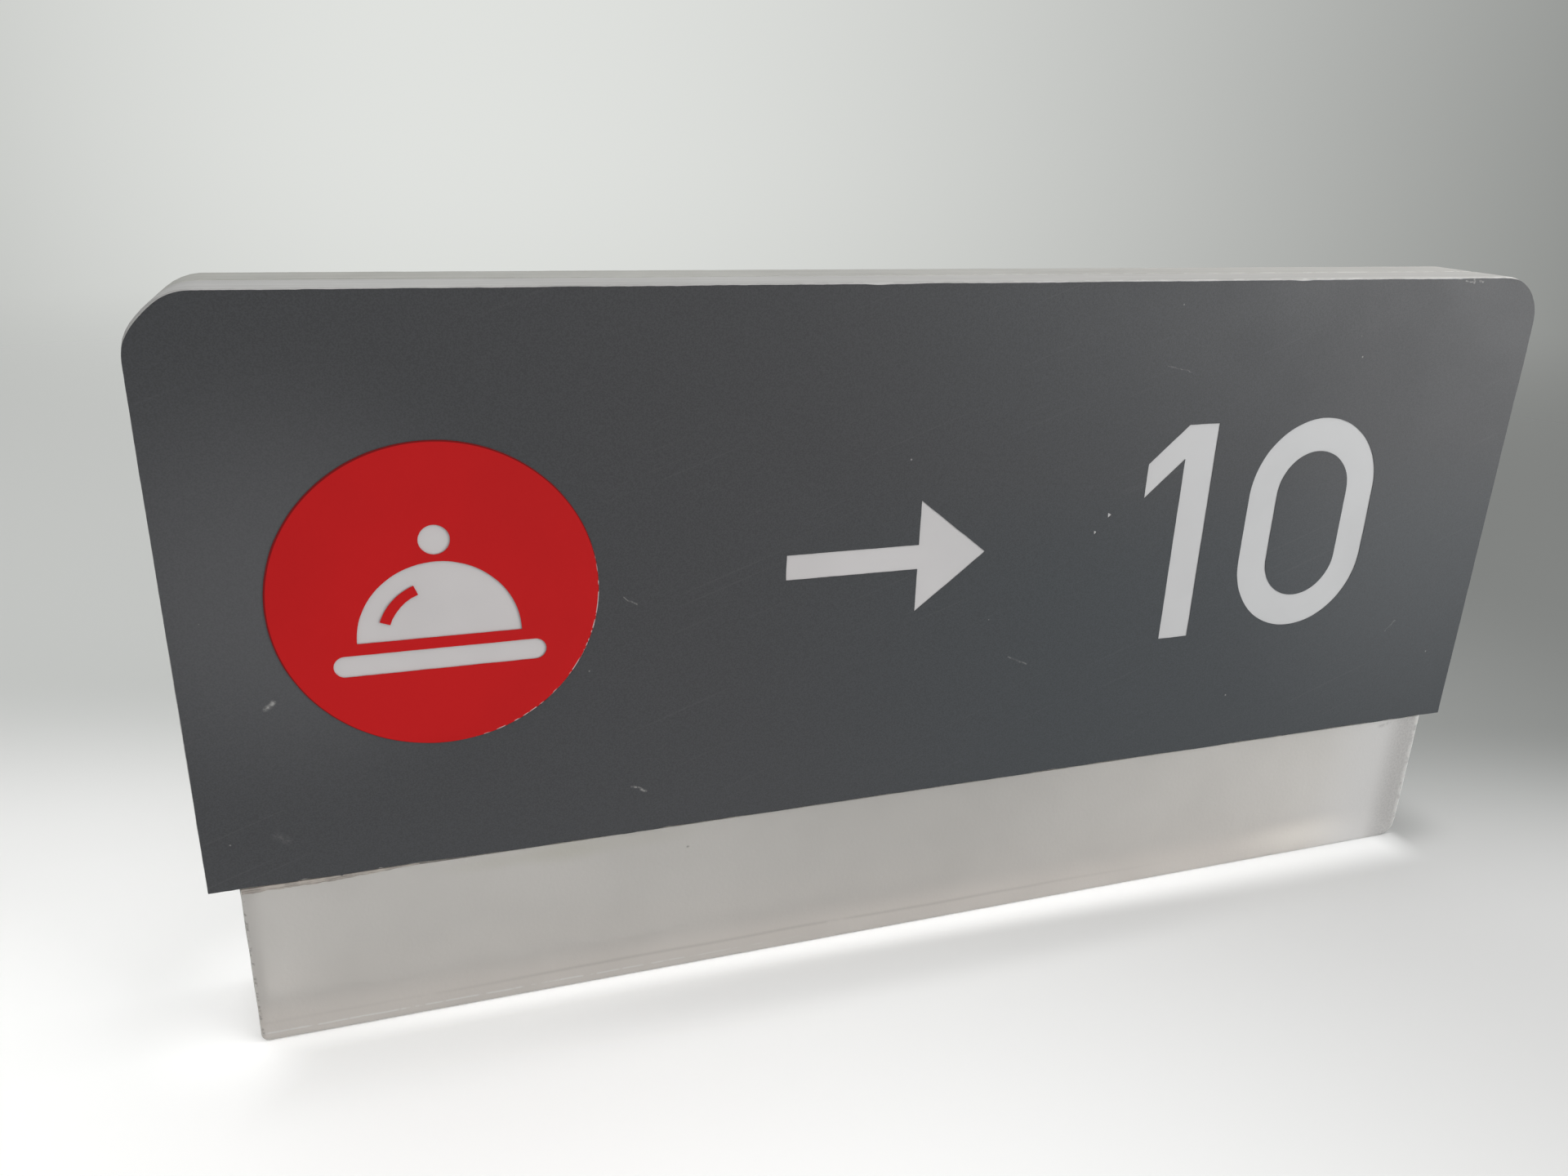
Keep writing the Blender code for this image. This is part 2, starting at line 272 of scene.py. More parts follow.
class StageSettings(bpy.types.PropertyGroup):
    """Camera, lights and floor."""
    eye: FloatVectorProperty(
        name="Eye", description="Place of the camera", size=3, subtype="XYZ", unit="LENGTH",
        default=(-0.07396, -0.15312, 0.11754))
    heading: angle("Heading", "Turn from +Y towards +X", 19.04)
    pitch: angle("Pitch", "Tilt below the horizon", 20.66)
    roll: angle("Roll", "Turn about the line of sight", 1.81)
    lens: FloatProperty(
        name="Lens", description="Focal length on a 36 mm sensor", default=27.74, unit="CAMERA")
    floor: colour("Floor", "Pale floor at the left", (0.97, 0.97, 0.96))
    # Painted shade: the floor is made darker to the right, against the lamps there
    floor_right_shaded: colour("Right floor", "Pale floor at the right", (0.58, 0.58, 0.575))
    # Painted light: emission that makes the open floor whiter in front and at the left
    lift: share("Lift", "How much whiter the floor looks in front and at the left", 0.08)
    foot_glow: share("Foot glow", "Light through the slab on the floor along its foot", 0.19)
    end_glow: share("End glow", "Light through the slab on the floor at its left end", 0.15)
    far_left: colour("Far left", "Floor beyond the pale pool at the left", (0.555, 0.565, 0.55))
    far_right: colour("Far right", "Floor beyond the pale pool at the right", (0.182, 0.188, 0.182))
    bounce: colour("Bounce", "What the floor throws back on the sign", (0.58, 0.58, 0.58))
    fall_start: metres("Fall start", "How far behind the sign the floor begins to darken", -0.005)
    fall_end: metres("Fall end", "How far behind the sign it is darkest", 0.078)
    horizon: metres("Horizon", "Radius at which the floor has faded into the walls", 0.9)
    wall_light: colour("Light wall", "Studio wall behind the sign", (0.745, 0.76, 0.735))
    wall_dim: colour("Dim wall", "Studio wall at either side", (0.158, 0.165, 0.158))
    ceiling: colour("Ceiling", "Soft light from above", (0.92, 0.92, 0.92))
    key: watts("Key", "Soft light at the right", 2.0)
    side: watts("Side", "Soft panel at the front right", 0.46)
    side_spread: angle("Side spread", "How widely that panel shines", 90)


class SignSettings(bpy.types.PropertyGroup):
    """All settings of the sign."""
    film: PointerProperty(type=FilmSettings, name="Film", description="The three films")
    acrylic: PointerProperty(type=AcrylicSettings, name="Acrylic", description="Sheets and slab")
    glue: PointerProperty(type=GlueSettings, name="Glue", description="Bonds and bead")
    stage: PointerProperty(type=StageSettings, name="Stage", description="Camera, lights and floor")


# Outlines: closed lists of points (x, z), counterclockwise as the face is seen

def signed_area(outline):
    """Area of an outline, positive when it runs counterclockwise."""
    ends = outline[1:] + outline[:1]
    return sum(a.x * b.y - b.x * a.y for a, b in zip(outline, ends)) / 2


def outlines_of(node):
    """The closed outlines of a flat piece's front face, the outer one first."""
    flat = bmesh.new()
    flat.from_mesh(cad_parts[node].data)
    bmesh.ops.remove_doubles(flat, verts=flat.verts, dist=WELD)
    flat.normal_update()
    front = dict.fromkeys(face for face in flat.faces if face.normal.y < -FRONT_FACING)
    following = {}
    for face in front:
        for loop in face.loops:
            if sum(other in front for other in loop.edge.link_faces) == 1:
                following[loop.vert] = loop.link_loop_next.vert
    outlines = []
    while following:
        outline = []
        vert = next(iter(following))
        while vert in following:
            outline.append(Vector((vert.co.x, vert.co.z)))
            vert = following.pop(vert)
        outlines.append(outline)
    flat.free()
    outlines.sort(key=lambda outline: -abs(signed_area(outline)))
    return [outline if signed_area(outline) > 0 else outline[::-1] for outline in outlines]


def joining(run, other):
    """The way of a run where it meets another: its own at a corner, and midway between them elsewhere."""
    return (run if run.angle(other) > CORNER_TURN else other + run).normalized()


def redraw(outline, spacing):
    """The same outline with round stretches made smooth and a point every spacing or so."""
    count = len(outline)
    runs = [outline[(i + 1) % count] - outline[i] for i in range(count)]
    points = []
    for i, run in enumerate(runs):
        start = outline[i]
        end = outline[(i + 1) % count]
        out = joining(run, runs[i - 1]) * run.length
        into = joining(run, runs[(i + 1) % count]) * run.length
        steps = max(1, round(run.length / spacing))
        for step in range(steps):
            t = step / steps
            points.append(start * (2 * t ** 3 - 3 * t ** 2 + 1) + out * (t ** 3 - 2 * t ** 2 + t)
                          + end * (3 * t ** 2 - 2 * t ** 3) + into * (t ** 3 - t ** 2))
    return points


def outward(outline):
    """Vectors out of a counterclockwise outline, of unit length or longer where it turns sharply."""
    count = len(outline)
    ways = []
    for i in range(count):
        before = (outline[i] - outline[i - 1]).normalized()
        after = (outline[(i + 1) % count] - outline[i]).normalized()
        along = (before + after).normalized()
        ways.append(Vector((along.y, -along.x)) / max(0.5, along.dot(after)))
    return ways


def offset(outline, distance):
    """The outline moved outward by a distance, or inward by a negative one."""
    return [point + way * distance for point, way in zip(outline, outward(outline))]


def strayed(outline, reach, grain, seed):
    """The outline with each point strayed a little out or in, over a grain of so many metres."""
    moved = []
    for point, way in zip(outline, outward(outline)):
        stray = noise.fractal(Vector((point.x / grain, point.y / grain, seed)), *STRAY_WAVES)
        moved.append(point + way * (reach * stray))
    return moved


def trimmed(outline, trims):
    """The outline with its trims."""
    moved = []
    for point, way in zip(outline, outward(outline)):
        depth = 0.0
        for place, reach, deepest in trims:
            near = max(0.0, 1 - (point - Vector(place)).length / reach)
            depth += deepest * near * near * (3 - 2 * near)
        moved.append(point - way * depth)
    return moved


def hand_cuts(node, reach, grain, seed):
    """The outlines of a film as a hand cuts them."""
    return [strayed(redraw(outline, CUT_SPACING), reach, grain, seed) for outline in outlines_of(node)]


# Pieces

def finish_piece(piece, slot, material, *nodes):
    """Give a new piece its material and its body, and hide the nodes that it stands for. The slot is not
    used.
    """
    piece.data.materials.clear()
    piece.data.materials.append(material)
    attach(piece, BODY)
    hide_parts(*nodes)


def new_piece(name, mesh):
    """An object for a mesh, in the scene."""
    piece = bpy.data.objects.new(name, mesh)
    bpy.context.scene.collection.objects.link(piece)
    return piece


def cut_sheet(name, outlines, front, rear):
    """A flat piece cut from film: outlines with holes after the outer one, between two planes of Y."""
    drawing = bpy.data.curves.new(name, "CURVE")
    drawing.dimensions = "2D"
    drawing.fill_mode = "BOTH"
    drawing.extrude = (rear - front) / 2
    for outline in outlines:
        spline = drawing.splines.new("POLY")
        spline.points.add(len(outline) - 1)
        spline.use_cyclic_u = True
        for point, place in zip(spline.points, outline):
            point.co = (place.x, place.y, 0.0, 1.0)
    drawn = new_piece(name + "_drawing", drawing)
    bpy.context.view_layer.update()
    shown = drawn.evaluated_get(bpy.context.evaluated_depsgraph_get())
    mesh = bpy.data.meshes.new_from_object(shown)
    bpy.data.objects.remove(drawn, do_unlink=True)
    bpy.data.curves.remove(drawing)
    upright = Matrix.Translation((0, (front + rear) / 2, 0)) @ Matrix.Rotation(math.pi / 2, 4, "X")
    mesh.transform(upright)
    mesh.name = name
    welded = bmesh.new()
    welded.from_mesh(mesh)
    bmesh.ops.remove_doubles(welded, verts=welded.verts, dist=WELD)
    bmesh.ops.recalc_face_normals(welded, faces=welded.faces)
    welded.to_mesh(mesh)
    welded.free()
    mesh.shade_smooth()
    mesh.set_sharp_from_angle(angle=SHARP_ANGLE)
    return new_piece(name, mesh)


def lofted(name, rings):
    """A smooth closed mesh through rings of points, capped at both ends."""
    built = bmesh.new()
    loops = [[built.verts.new(point) for point in ring] for ring in rings]
    for near, far in zip(loops, loops[1:]):
        for i in range(len(near)):
            j = (i + 1) % len(near)
            built.faces.new((near[i], near[j], far[j], far[i]))
    built.faces.new(loops[0][::-1])
    built.faces.new(loops[-1])
    bmesh.ops.recalc_face_normals(built, faces=built.faces)
    mesh = bpy.data.meshes.new(name)
    built.to_mesh(mesh)
    built.free()
    mesh.shade_smooth()
    return mesh


def eased_plate(name, node, trims, ease, ripple, seed, foot=1.0, head=1.0):
    """A thick plate on a node's outline and depth, with trims, faint saw ripple and rounded edges."""
    low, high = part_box(node)
    face = outlines_of(node)[0]
    drawn_in = min(point.x for point in face) - low.x
    outline = trimmed(offset(redraw(face, EDGE_SPACING), drawn_in), trims)
    ways = outward(outline)
    levels = []
    for step in range(EASE_STEPS + 1):
        turn = math.pi / 2 * step / EASE_STEPS
        levels.append((ease * (1 - math.sin(turn)), low.y + ease * (1 - math.cos(turn))))
    levels += [(inset, low.y + high.y - y) for inset, y in reversed(levels)]
    rings = []
    for inset, y in levels:
        ring = []
        sawn = strayed(offset(outline, -inset - ripple), ripple, SAW_GRAIN, seed + y * SAW_CHANGE)
        for point, way in zip(sawn, ways):
            # The rounding is as many times taller along the foot and the head as these factors say
            taller = inset * ((foot - 1) * max(0.0, -way.y) + (1 - head) * max(0.0, way.y))
            x = min(max(point.x, low.x), high.x)
            z = min(max(point.y + taller, low.z), high.z)
            ring.append((x, y, z))
        rings.append(ring)
    plate = new_piece(name, lofted(name, rings))
    weighted = plate.modifiers.new("flat faces stay flat", "WEIGHTED_NORMAL")
    weighted.keep_sharp = True
    return plate


# Finishes

class NodeSheet:
    """Places and wires nodes in the tree of a material, a world or a shared effect."""
    # Sums on vectors that give a number
    number_sums = ("DOT_PRODUCT", "DISTANCE", "LENGTH")
    # Where a mix of colours has its two colours and its result
    mix_first, mix_second, mix_result = 6, 7, 2
    # Shares of a blot's reach at which it begins and ends to fade
    blot_core, blot_edge = 0.1, 1.3

    def __init__(self, owner, tree, end):
        self.owner = owner
        self.tree = tree
        self.end = end

    def add(self, kind, inputs=None, **choices):
        """A node of a kind, with its choices made and its inputs set or wired."""
        made = self.tree.nodes.new("ShaderNode" + kind)
        for name, value in choices.items():
            setattr(made, name, value)
        for name, value in (inputs or {}).items():
            self.feed(made.inputs[name], value)
        return made

    def feed(self, socket, value):
        """Wire a socket to an output, or set it, with full alpha for a colour setting."""
        if isinstance(value, bpy.types.NodeSocket):
            self.tree.links.new(value, socket)
        elif isinstance(value, Color):
            socket.default_value = (*value, 1.0)
        else:
            socket.default_value = value

    def dress(self, inputs):
        """Feed the node that the tree ends in, and hand back what the tree belongs to."""
        for name, value in inputs.items():
            self.feed(self.end.inputs[name], value)
        return self.owner

    def places(self):
        """Where each point of the surface is."""
        return self.add("TexCoord").outputs["Object"]

    def parts(self, vector):
        """The numbers of a vector, by axis."""
        return self.add("SeparateXYZ", {"Vector": vector}).outputs

    def math(self, operation, first, second=0.0, clamp=False):
        """The result of one sum."""
        made = self.add("Math", {0: first, 1: second}, operation=operation, use_clamp=clamp)
        return made.outputs[0]

    def times(self, product, *factors):
        """The product of some values."""
        for factor in factors:
            product = self.math("MULTIPLY", product, factor)
        return product

    def vector(self, operation, first, second=ORIGIN):
        """The result of one sum on vectors."""
        made = self.add("VectorMath", {0: first, 1: second}, operation=operation)
        return made.outputs["Value" if operation in self.number_sums else "Vector"]

    def scaled(self, vector, factor):
        """A vector made longer or shorter by a factor."""
        made = self.add("VectorMath", {0: vector, "Scale": factor}, operation="SCALE")
        return made.outputs["Vector"]

    def ramp(self, value, low, high, start=0.0, end=1.0):
        """A number eased from start to end while a value goes from low to high."""
        made = self.add("MapRange", {"Value": value, "From Min": low, "From Max": high,
                                     "To Min": start, "To Max": end}, interpolation_type="SMOOTHSTEP")
        return made.outputs["Result"]

    def spread(self, mask, start, end):
        """A number eased from start to end by a mask."""
        return self.ramp(mask, 0.0, 1.0, start, end)

    def mix(self, amount, first, second):
        """A colour mixed from two."""
        made = self.add("Mix", {0: amount}, data_type="RGBA")
        self.feed(made.inputs[self.mix_first], first)
        self.feed(made.inputs[self.mix_second], second)
        return made.outputs[self.mix_result]

    def shade(self, tone, factor):
        """A colour made lighter or darker by a factor."""
        return self.add("HueSaturation", {"Color": tone, "Value": factor}).outputs["Color"]

    def uneven(self, tone, mask, least, most):
        """A colour whose shade goes from a least to a most factor by a mask."""
        return self.shade(tone, self.spread(mask, least, most))

    def raised(self, height, distance, strength):
        """A normal raised by a height."""
        made = self.add("Bump", {"Height": height, "Distance": distance, "Strength": strength})
        return made.outputs["Normal"]

    def effect(self, name, **inputs):
        """A shared effect, with its own values."""
        values = {label.capitalize(): value for label, value in inputs.items()}
        return self.add("Group", values, node_tree=shared(name)).outputs[0]

    def mottle(self, **look):
        """A soft uneven mask."""
        return self.effect("soft mottle", **look)

    def lay(self, name, tone, amount, paint, **look):
        """A tone with a shared effect laid over it in another colour."""
        return self.mix(self.times(self.effect(name, **look), amount), tone, paint)

    def rubbed(self, mark):
        """The mask of one rubbed mark."""
        (start_x, start_z), (end_x, end_z), width, strength = mark
        return self.effect("rubbed mark", start=(start_x, 0.0, start_z), end=(end_x, 0.0, end_z),
                           width=width, strength=strength)

    def blot(self, tone, amount, paint, place, reach):
        """A tone with a soft blot of another colour round a place, reaching so far each way."""
        away = self.vector("DIVIDE", self.vector("SUBTRACT", self.places(), place), reach)
        mask = self.ramp(self.vector("LENGTH", away), self.blot_core, self.blot_edge, amount, 0.0)
        return self.mix(mask, tone, paint)


def new_effect(name, output, **inputs):
    """A sheet for a new shared effect with number or vector inputs and one output, and its inputs."""
    group = bpy.data.node_groups.new(name, "ShaderNodeTree")
    for label, default in inputs.items():
        kind = "NodeSocketVector" if isinstance(default, tuple) else "NodeSocketFloat"
        socket = group.interface.new_socket(label.capitalize(), in_out="INPUT", socket_type=kind)
        socket.default_value = default
    group.interface.new_socket(output, in_out="OUTPUT", socket_type="NodeSocketFloat")
    given = group.nodes.new("NodeGroupInput").outputs
    return NodeSheet(group, group, group.nodes.new("NodeGroupOutput")), given


def shared(name):
    """A shared effect by name, built when it is first asked for."""
    return bpy.data.node_groups.get(name) or EFFECTS[name](name)


def build_specks(name):
    """Round specks of dust, scattered with their own sizes."""
    sheet, given = new_effect(name, "Mask", spacing=0.004, size=0.0002, share=0.4)
    scale = sheet.math("DIVIDE", 1.0, given["Spacing"])
    cells = sheet.add("TexVoronoi", {"Vector": sheet.places(), "Scale": scale}, feature="F1").outputs
    chance = sheet.add("SeparateColor", {"Color": cells["Color"]}).outputs
    away = sheet.times(cells["Distance"], given["Spacing"])
    size = sheet.times(given["Size"], chance["Green"])
    near = sheet.math("SUBTRACT", 1.0, sheet.math("DIVIDE", away, size), clamp=True)
    kept = sheet.math("LESS_THAN", chance["Red"], given["Share"])
    return sheet.dress({"Mask": sheet.times(near, kept)})


def build_mottle(name):
    """A soft uneven shade, from 0 to 1."""
    sheet, given = new_effect(name, "Value", size=0.03, detail=3.0, seed=0.0)
    scale = sheet.math("DIVIDE", 1.0, given["Size"])
    clouds = sheet.add("TexNoise", {"Vector": sheet.places(), "W": given["Seed"], "Scale": scale,
                                    "Detail": given["Detail"], "Roughness": 0.55},
                       noise_dimensions="4D")
    return sheet.dress({"Value": sheet.ramp(clouds.outputs["Fac"], 0.28, 0.72)})


def build_scratches(name):
    """Fine hair scratches that come and go, all along one slant."""
    sheet, given = new_effect(name, "Mask", slant=0.3, length=0.02, width=0.0003, share=0.3)
    places = sheet.places()
    turned = sheet.add("VectorRotate", {"Vector": places, "Angle": given["Slant"]},
                       rotation_type="Y_AXIS")
    parts = sheet.parts(turned.outputs["Vector"])
    along = sheet.math("DIVIDE", parts["X"], given["Length"])
    across = sheet.math("DIVIDE", parts["Z"], given["Width"])
    slim = sheet.add("CombineXYZ", {"X": along, "Y": across})
    lines = sheet.add("TexNoise", {"Vector": slim.outputs["Vector"], "Scale": 0.35, "Detail": 1.0},
                      noise_dimensions="2D")
    patches = sheet.add("TexNoise", {"Vector": places, "Scale": 60.0, "Detail": 2.0})
    worn = sheet.math("SUBTRACT", 1.0, given["Share"])
    some = sheet.ramp(patches.outputs["Fac"], sheet.times(worn, 0.7), worn)
    thin = sheet.ramp(lines.outputs["Fac"], 0.70, 0.80)
    return sheet.dress({"Mask": sheet.times(thin, some)})


def build_rub(name):
    """One rubbed mark along a line, broken up by grain."""
    sheet, given = new_effect(name, "Mask", start=ORIGIN, end=ORIGIN, width=0.0003, strength=0.5)
    places = sheet.places()
    flat = sheet.vector("MULTIPLY", places, FACE_PLANE)
    wave = sheet.add("TexNoise", {"Vector": places, "Scale": 900.0, "Detail": 2.0})
    drift = sheet.scaled(sheet.vector("SUBTRACT", wave.outputs["Color"], (0.5, 0.5, 0.5)), 0.0006)
    here = sheet.vector("ADD", flat, sheet.vector("MULTIPLY", drift, FACE_PLANE))
    run = sheet.vector("SUBTRACT", given["End"], given["Start"])
    reach = sheet.vector("SUBTRACT", here, given["Start"])
    done = sheet.math("DIVIDE", sheet.vector("DOT_PRODUCT", reach, run),
                      sheet.vector("DOT_PRODUCT", run, run), clamp=True)
    away = sheet.vector("DISTANCE", reach, sheet.scaled(run, done))
    near = sheet.math("SUBTRACT", 1.0, sheet.math("DIVIDE", away, given["Width"]), clamp=True)
    grain = sheet.add("TexNoise", {"Vector": places, "Scale": 2600.0, "Detail": 2.0})
    broken = sheet.ramp(grain.outputs["Fac"], 0.38, 0.62, 0.25, 1.0)
    return sheet.dress({"Mask": sheet.times(near, broken, given["Strength"])})


def build_wear_and_highlight_line(name):
    """A thin broken line through a place, square to a way, kept off faces that look along the way."""
    sheet, given = new_effect(name, "Mask", place=ORIGIN, way=UP, width=0.0002, length=0.004,
                              share=0.5, wander=0.0)
    places = sheet.places()
    scale = sheet.math("DIVIDE", 1.0, given["Length"])
    breaks = sheet.add("TexNoise", {"Vector": places, "Scale": scale, "Detail": 3.0, "Roughness": 0.6})
    slow = sheet.add("TexNoise", {"Vector": places, "Scale": sheet.times(scale, 0.35), "Detail": 2.0})
    drift = sheet.times(sheet.math("SUBTRACT", slow.outputs["Fac"], 0.5), given["Wander"])
    reach = sheet.vector("SUBTRACT", places, given["Place"])
    across = sheet.math("ADD", sheet.vector("DOT_PRODUCT", reach, given["Way"]), drift)
    thin = sheet.math("DIVIDE", sheet.math("ABSOLUTE", across), given["Width"])
    near = sheet.math("SUBTRACT", 1.0, thin, clamp=True)
    worn = sheet.math("SUBTRACT", 0.75, sheet.times(given["Share"], 0.5))
    kept = sheet.ramp(breaks.outputs["Fac"], sheet.math("SUBTRACT", worn, 0.06),
                      sheet.math("ADD", worn, 0.06))
    normal = sheet.add("NewGeometry").outputs["Normal"]
    facing = sheet.math("ABSOLUTE", sheet.vector("DOT_PRODUCT", normal, given["Way"]))
    kept = sheet.times(kept, sheet.ramp(facing, 0.80, 0.97, 1.0, 0.0))
    return sheet.dress({"Mask": sheet.times(near, kept)})


def build_saw_streaks(name):
    """Streaks that run along a sawn edge, from 0 to 1."""
    sheet, given = new_effect(name, "Value", length=0.02, width=0.0005, seed=0.0)
    parts = sheet.parts(sheet.places())
    slim = sheet.add("CombineXYZ", {"X": sheet.math("DIVIDE", parts["X"], given["Length"]),
                                    "Y": sheet.math("DIVIDE", parts["Y"], given["Width"]),
                                    "Z": sheet.math("DIVIDE", parts["Z"], given["Length"])})
    streaks = sheet.add("TexNoise", {"Vector": slim.outputs["Vector"], "W": given["Seed"],
                                     "Scale": 1.0, "Detail": 3.0}, noise_dimensions="4D")
    return sheet.dress({"Value": sheet.ramp(streaks.outputs["Fac"], 0.3, 0.7)})


EFFECTS = {
    "dust specks": build_specks,
    "soft mottle": build_mottle,
    "hair scratches": build_scratches,
    "rubbed mark": build_rub,
    "worn line": build_wear_and_highlight_line,
    "saw streaks": build_saw_streaks,
}


def new_finish(name):
    """A sheet for a new material, which ends in its shader."""
    material = bpy.data.materials.new(name)
    material.use_nodes = True
    tree = material.node_tree
    return NodeSheet(material, tree, tree.nodes["Principled BSDF"])


def grey_finish(film):
    """Dark grey satin film, cooler in places, with a painted sheen near each end, dusty and lightly
    scratched.
    """
    sheet = new_finish("grey face film")
    places = sheet.places()
    parts = sheet.parts(places)
    drift = sheet.mottle(size=0.09, detail=2.0, seed=3.0)
    cool = sheet.times(sheet.ramp(parts["X"], -0.05, 0.03), sheet.ramp(parts["Z"], 0.085, 0.055))
    cool = sheet.math("MAXIMUM", cool, sheet.times(drift, 0.5))
    tone = sheet.mix(cool, film.grey, film.grey_cool)
    fine = sheet.mottle(size=0.00018, detail=2.0, seed=12.0)
    tone = sheet.uneven(tone, fine, 0.87, 1.13)
    # Painted sheen near each end, standing in for light reflected by the film
    for place, reach, most in (((-0.088, 0.0, 0.064), 0.034, film.fade),
                               ((0.088, 0.0, 0.060), 0.046, film.right_sheen)):
        away = sheet.vector("DISTANCE", places, place)
        tone = sheet.mix(sheet.ramp(away, 0.006, reach, most, 0.0), tone, film.sheen_tone)
    specks = sheet.effect("dust specks", spacing=0.0065, size=0.00021, share=0.42)
    scratches = sheet.effect("hair scratches", slant=0.35, length=0.012, width=0.00018, share=0.42)
    wear = sheet.math("MAXIMUM", sheet.times(specks, 0.6), sheet.times(scratches, 0.016))
    for mark in FILM_MARKS:
        wear = sheet.math("MAXIMUM", wear, sheet.rubbed(mark))
    smears = sheet.mottle(size=0.012, detail=5.0, seed=7.0)
    satin = sheet.math("ADD", sheet.times(smears, 0.06), film.roughness - 0.03)
    grain = sheet.mottle(size=0.0005, detail=2.0, seed=1.0)
    return sheet.dress({
        "Base Color": sheet.mix(wear, tone, film.dust),
        "Specular IOR Level": 0.35,
        "Roughness": sheet.math("ADD", satin, sheet.times(wear, 0.3)),
        "Normal": sheet.raised(grain, 0.00001, 0.35),
    })


def red_finish(film, centre, radius):
    """Red satin film, darker in a thin rim where it laps over grey, with a broken pale glint painted on
    its rim at the lower right.
    """
    sheet = new_finish("red badge film")
    places = sheet.places()
    parts = sheet.parts(places)
    flat = sheet.vector("MULTIPLY", places, FACE_PLANE)
    away = sheet.vector("DISTANCE", flat, (centre.x + 0.00006, 0.0, centre.y - 0.00009))
    lap = sheet.ramp(away, radius - 0.00018, radius - 0.00008)
    away = sheet.vector("DISTANCE", flat, (centre.x, 0.0, centre.y))
    rim = sheet.ramp(away, radius - 0.00013, radius - 0.00008)
    # Painted highlight: a broken pale glint on the rim at the lower right
    breaks = sheet.mottle(size=0.0013, detail=3.0, seed=14.0)
    slope = 0.7
    slant = sheet.math("SUBTRACT", parts["X"], sheet.times(parts["Z"], slope))
    corner = centre.x - slope * centre.y
    rim_glint = sheet.times(rim, sheet.ramp(breaks, 0.45, 0.70),
                        sheet.ramp(slant, corner + 0.75 * radius, corner + 1.05 * radius))
    drift = sheet.mottle(size=0.03, detail=3.0, seed=5.0)
    tone = sheet.mix(lap, sheet.uneven(film.red, drift, 0.95, 1.04), film.red_lap)
    tone = sheet.mix(sheet.times(rim_glint, 0.65), tone, film.white)
    smears = sheet.mottle(size=0.010, detail=5.0, seed=9.0)
    grain = sheet.mottle(size=0.0005, detail=2.0, seed=2.0)
    return sheet.dress({
        "Base Color": sheet.lay("dust specks", tone, 0.5, film.dust,
                                spacing=0.006, size=0.00018, share=0.35),
        "Specular IOR Level": 0.15,
        "Roughness": sheet.spread(smears, film.roughness - 0.03, film.roughness + 0.05),
        "Normal": sheet.raised(grain, 0.00001, 0.35),
    })


def white_finish(film):
    """White satin film, faintly uneven, warmer under the badge, painted darker towards the right against
    the lamps there, with a few specks.
    """
    sheet = new_finish("white backing film")
    parts = sheet.parts(sheet.places())
    # Painted shade: darker towards the right, where the lamps light the film more
    tone = sheet.mix(sheet.ramp(parts["X"], -0.055, 0.065), film.white, film.white_right_shaded)
    drift = sheet.mottle(size=0.02, detail=3.0, seed=4.0)
    tone = sheet.uneven(tone, drift, 0.96, 1.02)
    smears = sheet.mottle(size=0.008, detail=4.0, seed=6.0)
    return sheet.dress({
        "Base Color": sheet.lay("dust specks", tone, 0.6, film.dark_dust,
                                spacing=0.005, size=0.00016, share=0.25),
        "Roughness": sheet.spread(smears, 0.42, 0.52),
    })


def acrylic_skin(name, tint, roughness, clearness, seed):
    """A sheet for satin or frosted acrylic, partly clear, with scuffs and frost, and its uneven tint."""
    sheet = new_finish(name)
    drift = sheet.mottle(size=0.025, detail=3.0, seed=seed)
    smears = sheet.mottle(size=0.009, detail=5.0, seed=seed + 2.0)
    frost = sheet.mottle(size=0.0006, detail=3.0, seed=seed + 4.0)
    scuffs = sheet.effect("hair scratches", slant=0.05, length=0.02, width=0.00025, share=0.4)
    satin = sheet.spread(smears, roughness - 0.05, roughness + 0.05)
    sheet.dress({
        "Roughness": sheet.math("ADD", satin, sheet.times(scuffs, 0.15)),
        "Normal": sheet.raised(frost, 0.00002, 0.4),
        "Transmission Weight": clearness,
        "IOR": ACRYLIC_IOR,
    })
    return sheet, sheet.uneven(tint, drift, 0.96, 1.04)


def sheet_finish(acrylic, node, left, right, seed):
    """Frosted sheet, painted lighter to the right where light falls and in lit tints by which way it
    faces, with saw streaks along its edges and broken highlights painted along its front and rear
    arrises.
    """
    sheet, tone = acrylic_skin(
        "frosted " + node.replace("_", " "), left, acrylic.sheet_roughness, acrylic.sheet_clear, seed)
    x = sheet.parts(sheet.places())["X"]
    # Painted light: lighter to the right, where light falls
    tone = sheet.mix(sheet.ramp(x, -0.11, 0.11), tone, right)
    streaks = sheet.effect("saw streaks", length=0.03, width=0.0009, seed=seed)
    tone = sheet.uneven(tone, streaks, 0.93, 1.07)
    turned = sheet.parts(sheet.add("NewGeometry").outputs["Normal"])
    # Painted light: tints by which way the surface faces, lightening the faces and ends that the lamps
    # leave in shade
    for axis, paint in (("X", acrylic.sheet_end_lit), ("Y", acrylic.sheet_face_lit)):
        tone = sheet.mix(sheet.ramp(sheet.math("ABSOLUTE", turned[axis]), 0.85, 0.97), tone, paint)
    # Painted highlights: broken pale lines along the front and rear arrises, stronger to the right where
    # light falls
    worn = sheet.ramp(x, -0.06, 0.09, 0.10, 0.40)
    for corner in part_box(node):
        tone = sheet.lay("worn line", tone, worn, acrylic.highlight_and_fleck, place=(0.0, corner.y, 0.0), way=INWARD,
                         width=0.00040, length=0.0025, share=0.45)
    return sheet.dress({"Base Color": sheet.lay("dust specks", tone, 0.5, acrylic.grime,
                                                spacing=0.006, size=0.00020, share=0.3)})


